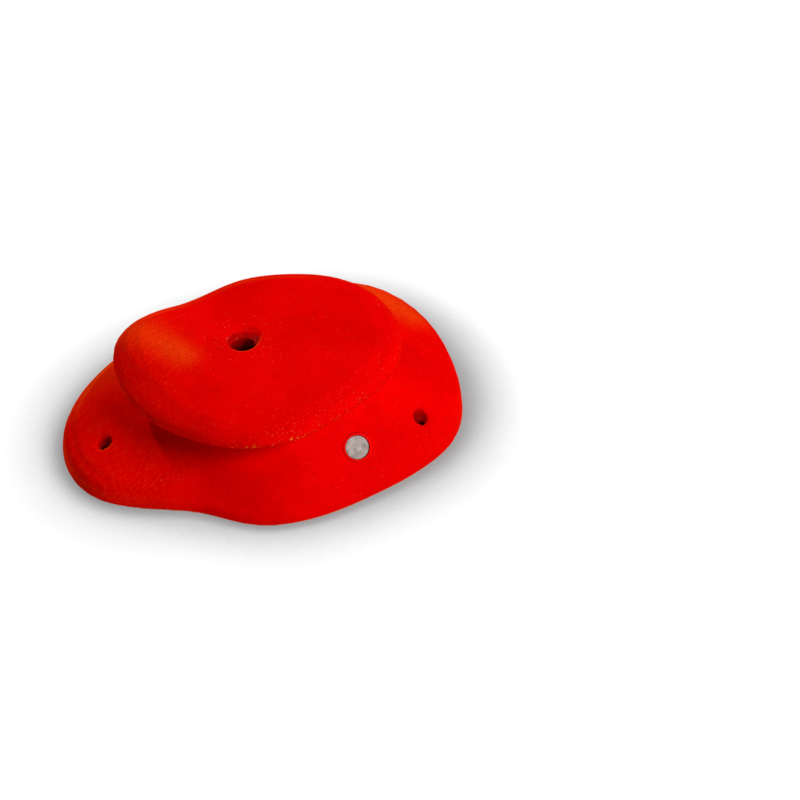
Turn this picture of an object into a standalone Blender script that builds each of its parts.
"""A two-tier climbing hold: a wide flange against the wall and a pad that overhangs it.

The hold lies on its back, as it would on a bench: its flat back is at Z = 0 and +Z points away
from the wall. +X is the long way. The origin is the middle of the footprint. The body is a loft of
rings about the bolt's axis, skinned and subdivided, then cut with the bolt hole, the screw holes,
the badge's seat and the pockets in its back. Steel washers are moulded in where the bolt and the
screws bear. Lengths are in millimetres until MM turns them to metres.
"""

import math

import bmesh
import bpy
from mathutils import Vector

MM = 0.001
GAP = 0.3

# Where the bolt goes through, and how finely the rings about it are drawn.
BOLT_X = -12.0
BOLT_Y = -6.4
STATIONS = 36
CORE_STATIONS = 24

# Each outline is a list of (angle about the bolt from +X, value), joined by a smooth curve.
# The flange's outline where it meets the wall, as a radius from the bolt.
FOOT_RADIUS = [
    (0, 155), (30, 153), (50, 145), (70, 124), (95, 106), (125, 101), (150, 108), (170, 120),
    (190, 133), (208, 135), (220, 128), (232, 112), (248, 97), (262, 97.5), (277, 105.5),
    (297, 109.5), (320, 118), (337, 134), (350, 150),
]
# How high the flange's edge stands before it rolls over into the flank.
SHOULDER_HEIGHT = [
    (0, 27), (30, 37), (52, 39), (90, 31), (150, 24), (195, 20), (225, 16), (270, 13), (320, 15),
    (340, 20),
]
# The waist under the pad.
NECK_RADIUS = [
    (0, 95), (40, 84), (60, 68), (90, 50), (120, 46), (150, 53), (180, 64), (205, 62), (232, 55),
    (248, 56), (262, 60), (280, 61), (297, 64), (320, 74), (335, 84), (350, 92),
]
NECK_HEIGHT = [(0, 53), (45, 52), (90, 44), (135, 42), (225, 42), (270, 47), (300, 51), (330, 54)]
# The pad's rounded lip: crisp at the front and right, fuller at the left and back.
LIP_RADIUS = [
    (0, 112), (16, 111.5), (30, 107), (45, 97), (60, 84), (75, 74.5), (92, 68), (112, 63.5),
    (128, 63.5), (142, 67), (155, 75.5), (166, 86), (177, 92.5), (192, 93), (212, 88.5),
    (235, 85), (252, 86.5), (270, 90.5), (292, 92.5), (313, 92.5), (330, 97), (345, 106),
]
LIP_HEIGHT = [
    (0, 67), (45, 70), (90, 70), (130, 68), (165, 68), (185, 66), (205, 61), (225, 59),
    (250, 62), (270, 64), (315, 65),
]
LIP_THICKNESS = [
    (0, 14), (60, 16), (90, 18), (130, 18), (180, 20), (205, 18), (225, 14), (270, 12), (315, 12),
]
# The pad's top, from its rim inwards: a crest at the left, a groove at the back left, and a dish
# round the bolt hole.
RIM_HEIGHT = [
    (0, 80.5), (25, 82.5), (50, 83.5), (80, 84), (100, 82.5), (125, 77.5), (140, 79), (160, 83.5),
    (185, 84.5), (204, 80), (218, 76), (235, 73.5), (270, 74), (300, 75.5), (330, 77.5),
]
CREST_HEIGHT = [
    (0, 80), (50, 81.5), (85, 81.5), (105, 78.5), (128, 75.5), (150, 79), (185, 84), (205, 82),
    (220, 78.5), (240, 76.5), (300, 77.5), (330, 78.5),
]
DISH_HEIGHT = [
    (0, 79), (60, 79.5), (95, 78), (128, 75.5), (155, 77.5), (188, 82), (210, 81), (232, 79),
    (270, 78.5),
]
HOLE_HEIGHT = [(0, 78.5), (60, 78), (125, 76.5), (190, 78), (230, 78.5)]

# The flange's edge, and how full the flank is between the edge's shoulder and the waist.
EDGE_ROUND = 3.0
EDGE_DRAFT = 1.5
SHOULDER_INSET = 8.0
FLANK_SHARES = (0.30, 0.62, 0.88)
FLANK_FULLNESS = 0.92
WAIST_RISE = 3.0

# The pad's edge, in shares of its lip's thickness: how far below the lip's middle its underside
# starts, and how far in the lower and upper corners of the edge are. The upper corner is drawn in
# at the front left, where the pad rolls over.
UNDERSIDE_DROP = 0.42
LOWER_CORNER = 0.30
UPPER_CORNER = [
    (0, 0.22), (160, 0.22), (185, 0.30), (210, 0.46), (230, 0.36), (250, 0.24), (270, 0.22),
]

# Where the pad's rim, crest, dish and hole heights apply, in shares of the lip's radius. The rim
# is far out where the lip is crisp and further in where the pad rolls over at the left.
RIM_REACH = [
    (0, 0.90), (40, 0.86), (80, 0.84), (150, 0.84), (190, 0.81), (218, 0.78), (245, 0.86),
    (270, 0.89), (330, 0.91),
]
CREST_REACH = 0.68
DISH_REACH = 0.50
HOLE_REACH = 0.30

# The mouth round the bolt hole, which flares most towards the back right. Its wall ends on a
# narrow ledge, and the recess starts there.
MOUTH_RADIUS = 10.4
MOUTH_FLARE = 4.0
FLARE_ANGLE = 62.0
MOUTH_APRON = 1.5
MOUTH_EDGE = 1.12
MOUTH_FOOT = 9.7
MOUTH_DEPTH = 5.6
MOUTH_LEDGE = 0.9

# The bolt hole: a recess for the head, a moulded-in washer at its floor, and a bore for an M10.
HEAD_RADIUS = 8.0
RECESS_RADIUS = 8.5
RECESS_TOP = 76.0
SEAT_HEIGHT = 34.0
WASHER_OUTER = 12.0
WASHER_INNER = 5.5
WASHER_THICKNESS = 2.5
WASHER_EDGE = 0.3
WASHER_LAND = 0.4
BORE_RADIUS = 5.75

# The screw holes, as (name, x, y, height of the flange's surface there).
SCREW_HOLES = [
    ("left", -108.2, -54.0, 25.5),
    ("right", 111.3, -34.0, 30.5),
    ("back", 70.3, 80.0, 43.0),
]
SCREW_BORE = 2.5
COUNTERSINK_DEPTH = 6.5
# The round-bottomed countersink, as (radius, height above its foot).
COUNTERSINK = [(2.5, 0.0), (4.1, 1.2), (5.0, 3.4), (5.5, 5.6), (5.9, 18.5)]
SCREW_WASHER_OUTER = 4.8
SCREW_WASHER_INNER = 2.6
SCREW_WASHER_THICKNESS = 1.2
SCREW_WASHER_COVER = 1.4

# The badge: a red bezel let into the front flank, and the disc inside it.
BADGE_PLACE = (67.5, -64.2, 30.7)
BADGE_FACING = (0.20, -0.68, 0.705)
BADGE_SEAT_DEPTH = 3.7
BEZEL_RADIUS = 10.0
BEZEL_WIDTH = 1.6
BEZEL_DEPTH = 3.4
BEZEL_FLOOR = 1.0
DISC_THICKNESS = 1.3
DISC_EDGE = 0.2
DIMPLE_REACH = 26.0
DIMPLE_DEPTH = 2.8

# The pockets in the back, and what stands between them.
BACK_RIM = 14.0
WALL = 10.0
POCKET_TOP = 54.0
POCKET_STEPS = (10.0, 20.0, 30.0, 40.0, 48.0)
POCKET_DRAFT = 0.15
POCKET_ROOF = 0.86
BOLT_BOSS_RADIUS = 20.0
SCREW_BOSS_RADIUS = 9.0
BOSS_DRAFT = 2.0
RIB_ANGLES = (46.5, 122.0, 206.5, 277.0, 347.5)
RIB_THICKNESS = 7.0
RIB_DRAFT = 3.0

# How far the cutting tools run past what they cut.
OVERCUT = 5.0


def smooth_value(table, angle):
    """Reads a list of (angle, value) as one smooth closed curve."""
    count = len(table)
    angle %= 360.0
    after = sum(1 for mark, _ in table if mark <= angle)
    marks = []
    values = []
    for index in range(after - 2, after + 2):
        mark, value = table[index % count]
        marks.append(mark + 360.0 * (index // count))
        values.append(value)
    span = marks[2] - marks[1]
    slope_in = (values[2] - values[0]) / (marks[2] - marks[0])
    slope_out = (values[3] - values[1]) / (marks[3] - marks[1])
    t = (angle - marks[1]) / span
    return (
        (2 * t**3 - 3 * t**2 + 1) * values[1]
        + (t**3 - 2 * t**2 + t) * span * slope_in
        + (3 * t**2 - 2 * t**3) * values[2]
        + (t**3 - t**2) * span * slope_out
    )


def about_bolt(angle, radius, height):
    """The point at an angle and radius about the bolt, in millimetres."""
    turn = math.radians(angle)
    return Vector((BOLT_X + radius * math.cos(turn), BOLT_Y + radius * math.sin(turn), height))


def flank_profile(angle):
    """The flange's outer surface at one angle, as (radius, height) from its edge to the waist."""
    foot = smooth_value(FOOT_RADIUS, angle)
    shoulder = smooth_value(SHOULDER_HEIGHT, angle)
    neck = smooth_value(NECK_RADIUS, angle)
    waist = smooth_value(NECK_HEIGHT, angle)
    flank = foot - SHOULDER_INSET
    profile = [(foot, EDGE_ROUND), (foot - EDGE_DRAFT, 0.6 * shoulder), (flank, shoulder)]
    for share in FLANK_SHARES:
        height = shoulder + share**FLANK_FULLNESS * (waist - shoulder)
        profile.append((flank + share * (neck - flank), height))
    profile.append((neck, waist + WAIST_RISE))
    return profile


def pad_profile(angle):
    """The pad's surface at one angle, from under its lip to the foot of the bolt hole's mouth."""
    neck = smooth_value(NECK_RADIUS, angle)
    waist = smooth_value(NECK_HEIGHT, angle)
    lip = smooth_value(LIP_RADIUS, angle)
    lip_height = smooth_value(LIP_HEIGHT, angle)
    thickness = smooth_value(LIP_THICKNESS, angle)
    rim = smooth_value(RIM_HEIGHT, angle)
    hole = smooth_value(HOLE_HEIGHT, angle)
    flare = max(0.0, math.cos(math.radians(angle - FLARE_ANGLE))) ** 2
    mouth = MOUTH_RADIUS + MOUTH_FLARE * flare
    underside = lip_height - UNDERSIDE_DROP * thickness
    return [
        (0.5 * (neck + lip), max(underside - 2.0, waist + WAIST_RISE + 1.0)),
        (lip - LOWER_CORNER * thickness, underside),
        (lip, lip_height),
        (lip - smooth_value(UPPER_CORNER, angle) * thickness, 0.5 * (lip_height + rim)),
        (smooth_value(RIM_REACH, angle) * lip, rim),
        (CREST_REACH * lip, smooth_value(CREST_HEIGHT, angle)),
        (DISH_REACH * lip, smooth_value(DISH_HEIGHT, angle)),
        (HOLE_REACH * lip, hole),
        (MOUTH_APRON * mouth, hole - 0.2),
        (MOUTH_EDGE * mouth, hole - 0.5),
        (mouth, hole - 1.6),
        (MOUTH_FOOT, hole - MOUTH_DEPTH),
        (MOUTH_FOOT - MOUTH_LEDGE, hole - MOUTH_DEPTH - 0.3),
    ]


def outer_profile(angle):
    """The whole outer surface at one angle, from the back's edge up to the bolt hole's mouth."""
    back_edge = (smooth_value(FOOT_RADIUS, angle) - 0.8, 0.0)
    return [back_edge] + flank_profile(angle) + pad_profile(angle)


def core_profile(angle):
    """The inside of the hollow back at one angle: the flank drawn in by the wall's thickness."""
    flank = flank_profile(angle)
    foot = flank[0][0]
    neck = flank[-1][0]

    def outer_radius(height):
        for (low_radius, low), (high_radius, high) in zip(flank, flank[1:]):
            if height <= high:
                share = max(0.0, height - low) / (high - low)
                return low_radius + share * (high_radius - low_radius)
        return neck

    profile = [(foot - BACK_RIM, -OVERCUT), (foot - BACK_RIM, 0.0)]
    for height in POCKET_STEPS:
        inner = outer_radius(height + 0.8 * WALL) - WALL
        profile.append((min(inner, foot - BACK_RIM - POCKET_DRAFT * height), height))
    profile.append((POCKET_ROOF * profile[-1][0], POCKET_TOP))
    return profile


def dimpled(point):
    """Sinks a point of the flank that is near the badge, most at its middle."""
    reach = (point - Vector(BADGE_PLACE)).length / DIMPLE_REACH
    if reach >= 1.0:
        return point
    depth = DIMPLE_DEPTH * 0.5 * (1.0 + math.cos(math.pi * reach))
    return point - Vector(BADGE_FACING).normalized() * depth


def add_object(name, mesh):
    """Links a mesh to the scene as a named object."""
    piece = bpy.data.objects.new(name, mesh)
    bpy.context.scene.collection.objects.link(piece)
    return piece


def add_lofted(name, profile_at, stations, creased_ring=None):
    """Skins one ring about the bolt for each step of a profile, closes both ends and smooths it."""
    profiles = [profile_at(360.0 * i / stations) for i in range(stations)]
    bm = bmesh.new()
    rings = []
    for step in range(len(profiles[0])):
        ring = []
        for i, profile in enumerate(profiles):
            radius, height = profile[step]
            point = dimpled(about_bolt(360.0 * i / stations, radius, height))
            ring.append(bm.verts.new(point * MM))
        rings.append(ring)
    for lower, upper in zip(rings, rings[1:]):
        for i in range(stations):
            j = (i + 1) % stations
            bm.faces.new((lower[i], lower[j], upper[j], upper[i]))
    bm.faces.new(reversed(rings[0]))
    bm.faces.new(rings[-1])
    if creased_ring is not None:
        crease = bm.edges.layers.float.new("crease_edge")
        ring = rings[creased_ring]
        for i in range(stations):
            bm.edges.get((ring[i], ring[(i + 1) % stations]))[crease] = 1.0
    mesh = bpy.data.meshes.new(name)
    bm.to_mesh(mesh)
    bm.free()
    mesh.shade_smooth()
    piece = add_object(name, mesh)
    subdivide = piece.modifiers.new("Subdivision", "SUBSURF")
    subdivide.levels = 1
    subdivide.render_levels = 1
    return piece


def add_turned(name, outline, place, facing=(0.0, 0.0, 1.0), segments=40, closed=False):
    """Spins an outline of (radius, height) about an axis. A closed outline makes a ring."""
    bm = bmesh.new()
    chain = [bm.verts.new(Vector((radius, 0.0, height)) * MM) for radius, height in outline]
    pairs = list(zip(chain, chain[1:]))
    if closed:
        pairs.append((chain[-1], chain[0]))
    edges = [bm.edges.new(pair) for pair in pairs]
    bmesh.ops.spin(
        bm, geom=chain + edges, cent=(0, 0, 0), axis=(0, 0, 1), angle=2 * math.pi,
        steps=segments, use_merge=True,
    )
    bmesh.ops.remove_doubles(bm, verts=bm.verts, dist=0.00001)
    if not closed:
        rims = [edge for edge in bm.edges if len(edge.link_faces) == 1]
        bmesh.ops.holes_fill(bm, edges=rims, sides=0)
    bmesh.ops.recalc_face_normals(bm, faces=bm.faces)
    mesh = bpy.data.meshes.new(name)
    bm.to_mesh(mesh)
    bm.free()
    mesh.shade_smooth()
    mesh.set_sharp_from_angle(angle=math.radians(35.0))
    piece = add_object(name, mesh)
    piece.location = Vector(place) * MM
    piece.rotation_mode = "QUATERNION"
    piece.rotation_quaternion = Vector((0, 0, 1)).rotation_difference(Vector(facing))
    return piece


def rib_side(angle, side):
    """The face of a rib that bounds a pocket: a point on it and its normal, towards the rib."""
    turn = math.radians(angle)
    across = Vector((-math.sin(turn), math.cos(turn), 0.0)) * side
    lean = 0.5 * RIB_DRAFT / POCKET_TOP
    return Vector((BOLT_X, BOLT_Y, 0.0)) - across * 0.5 * RIB_THICKNESS, across + Vector((0, 0, lean))


def add_pocket(core, start_angle, end_angle):
    """The part of the core between two ribs, less the bosses that stand in it."""
    shape = core.evaluated_get(bpy.context.evaluated_depsgraph_get()).to_mesh()
    bm = bmesh.new()
    bm.from_mesh(shape)
    for point, normal in (rib_side(start_angle, -1.0), rib_side(end_angle, 1.0)):
        bmesh.ops.bisect_plane(
            bm, geom=bm.verts[:] + bm.edges[:] + bm.faces[:], plane_co=point * MM,
            plane_no=normal, clear_outer=True,
        )
        rims = [edge for edge in bm.edges if len(edge.link_faces) == 1]
        bmesh.ops.holes_fill(bm, edges=rims, sides=0)
    bmesh.ops.recalc_face_normals(bm, faces=bm.faces)
    mesh = bpy.data.meshes.new(f"pocket_{start_angle:.0f}")
    bm.to_mesh(mesh)
    bm.free()
    return add_object(mesh.name, mesh)


def make_cutter(piece):
    """Marks a piece as a tool that only shapes others."""
    piece.hide_render = True
    piece.display_type = "WIRE"
    return piece


def cut(piece, cutter):
    """Takes the cutter's volume out of a piece."""
    boolean = piece.modifiers.new(f"Cut {cutter.name}", "BOOLEAN")
    boolean.operation = "DIFFERENCE"
    boolean.solver = "EXACT"
    boolean.object = make_cutter(cutter)


def paint(piece, name, hex_colour, roughness, metallic=0.0):
    """Gives a piece a plain finish, with its colour written as sRGB hex."""
    channels = [int(hex_colour[i:i + 2], 16) / 255.0 for i in (0, 2, 4)]
    linear = [c / 12.92 if c <= 0.04045 else ((c + 0.055) / 1.055) ** 2.4 for c in channels]
    finish = bpy.data.materials.new(name)
    finish.use_nodes = True
    shader = finish.node_tree.nodes["Principled BSDF"]
    shader.inputs["Base Color"].default_value = (*linear, 1.0)
    shader.inputs["Roughness"].default_value = roughness
    shader.inputs["Metallic"].default_value = metallic
    piece.data.materials.clear()
    piece.data.materials.append(finish)


def add_boss(name, radius, x, y):
    """A post from the pockets' roof down to the back, a little thicker at its root."""
    outline = [(radius, -2 * OVERCUT), (radius + BOSS_DRAFT, POCKET_TOP + 2 * OVERCUT)]
    return add_turned(name, outline, (x, y, 0.0), segments=24)


def cut_pockets(body):
    """Hollows the back between the ribs, round the bosses that carry the bolt and the screws."""
    core = make_cutter(add_lofted("core", core_profile, CORE_STATIONS))
    bosses = [add_boss("bolt_boss", BOLT_BOSS_RADIUS, BOLT_X, BOLT_Y)]
    for side, x, y, _ in SCREW_HOLES:
        bosses.append(add_boss(f"screw_boss_{side}", SCREW_BOSS_RADIUS, x, y))
    bpy.context.view_layer.update()
    for start_angle, end_angle in zip(RIB_ANGLES, RIB_ANGLES[1:] + (RIB_ANGLES[0] + 360.0,)):
        pocket = add_pocket(core, start_angle, end_angle)
        for boss in bosses:
            cut(pocket, boss)
        cut(body, pocket)


def cut_bolt_hole(body):
    """Cuts the bore, the groove that holds the bolt's washer, and the recess for the bolt's head."""
    groove_floor = SEAT_HEIGHT - WASHER_THICKNESS - GAP
    outline = [
        (BORE_RADIUS, -OVERCUT), (BORE_RADIUS, groove_floor), (WASHER_OUTER + GAP, groove_floor),
        (WASHER_OUTER + GAP, SEAT_HEIGHT + GAP), (RECESS_RADIUS - 0.2, SEAT_HEIGHT + GAP),
        (RECESS_RADIUS, RECESS_TOP),
    ]
    cut(body, add_turned("bolt_hole", outline, (BOLT_X, BOLT_Y, 0.0)))


def cut_screw_hole(body, side, x, y, surface):
    """Cuts a screw's bore, the groove that holds its washer, and its countersink."""
    foot = surface - COUNTERSINK_DEPTH
    groove_top = foot - SCREW_WASHER_COVER + GAP
    groove_floor = foot - SCREW_WASHER_COVER - SCREW_WASHER_THICKNESS - GAP
    groove_radius = SCREW_WASHER_OUTER + GAP
    outline = [
        (SCREW_BORE, -OVERCUT), (SCREW_BORE, groove_floor), (groove_radius, groove_floor),
        (groove_radius, groove_top), (SCREW_BORE, groove_top),
    ]
    outline += [(radius, foot + rise) for radius, rise in COUNTERSINK]
    cut(body, add_turned(f"screw_hole_{side}", outline, (x, y, 0.0), segments=24))


def build_body():
    """The casting: the lofted form, less its pockets, its holes and the badge's seat."""
    body = add_lofted("hold_body", outer_profile, STATIONS, creased_ring=0)
    cut_pockets(body)
    cut_bolt_hole(body)
    for screw_hole in SCREW_HOLES:
        cut_screw_hole(body, *screw_hole)
    seat = [(BEZEL_RADIUS + GAP, -BADGE_SEAT_DEPTH), (BEZEL_RADIUS + GAP, 2 * OVERCUT)]
    cut(body, add_turned("badge_seat", seat, BADGE_PLACE, BADGE_FACING))
    paint(body, "red polyurethane", "E20303", 0.55)


def build_bolt_washer():
    """The steel washer moulded into the recess's floor, with a raised land as the bolt's seat."""
    low, high = SEAT_HEIGHT - WASHER_THICKNESS, SEAT_HEIGHT
    collar = high - WASHER_LAND
    outline = [
        (WASHER_INNER, low), (WASHER_OUTER - WASHER_EDGE, low), (WASHER_OUTER, low + WASHER_EDGE),
        (WASHER_OUTER, collar - WASHER_EDGE), (WASHER_OUTER - WASHER_EDGE, collar),
        (HEAD_RADIUS, collar), (HEAD_RADIUS, high), (WASHER_INNER + WASHER_EDGE, high),
        (WASHER_INNER, high - WASHER_EDGE),
    ]
    washer = add_turned("bolt_washer", outline, (BOLT_X, BOLT_Y, 0.0), closed=True)
    paint(washer, "zinc-plated steel", "A9ABAD", 0.35, metallic=1.0)


def build_screw_washer(side, x, y, surface):
    """A small steel washer, moulded in under a countersink."""
    high = surface - COUNTERSINK_DEPTH - SCREW_WASHER_COVER
    low = high - SCREW_WASHER_THICKNESS
    outline = [
        (SCREW_WASHER_INNER, low), (SCREW_WASHER_OUTER, low), (SCREW_WASHER_OUTER, high),
        (SCREW_WASHER_INNER, high),
    ]
    washer = add_turned(f"screw_washer_{side}", outline, (x, y, 0.0), segments=24, closed=True)
    paint(washer, f"zinc-plated steel {side}", "A9ABAD", 0.4, metallic=1.0)


def build_badge():
    """The badge: a red cup with a rounded rim, and the grey disc that lies in it."""
    inner = BEZEL_RADIUS - BEZEL_WIDTH
    floor = BEZEL_FLOOR - BEZEL_DEPTH
    bezel_outline = [
        (BEZEL_RADIUS, -BEZEL_DEPTH), (BEZEL_RADIUS, -0.5), (BEZEL_RADIUS - 0.3, 0.1),
        (BEZEL_RADIUS - 0.8, 0.3), (inner + 0.3, 0.1), (inner, -0.5), (inner, floor),
    ]
    bezel = add_turned("badge_bezel", bezel_outline, BADGE_PLACE, BADGE_FACING)
    paint(bezel, "red enamel", "D80A06", 0.35)
    low = floor + GAP
    edge = inner - GAP
    disc_outline = [
        (edge, low), (edge, low + DISC_THICKNESS - DISC_EDGE),
        (edge - DISC_EDGE, low + DISC_THICKNESS),
    ]
    disc = add_turned("badge_disc", disc_outline, BADGE_PLACE, BADGE_FACING)
    paint(disc, "grey pewter", "9A9490", 0.45, metallic=0.6)


def main():
    for old in list(bpy.data.objects):
        bpy.data.objects.remove(old)
    build_body()
    build_bolt_washer()
    for screw_hole in SCREW_HOLES:
        build_screw_washer(*screw_hole)
    build_badge()


main()
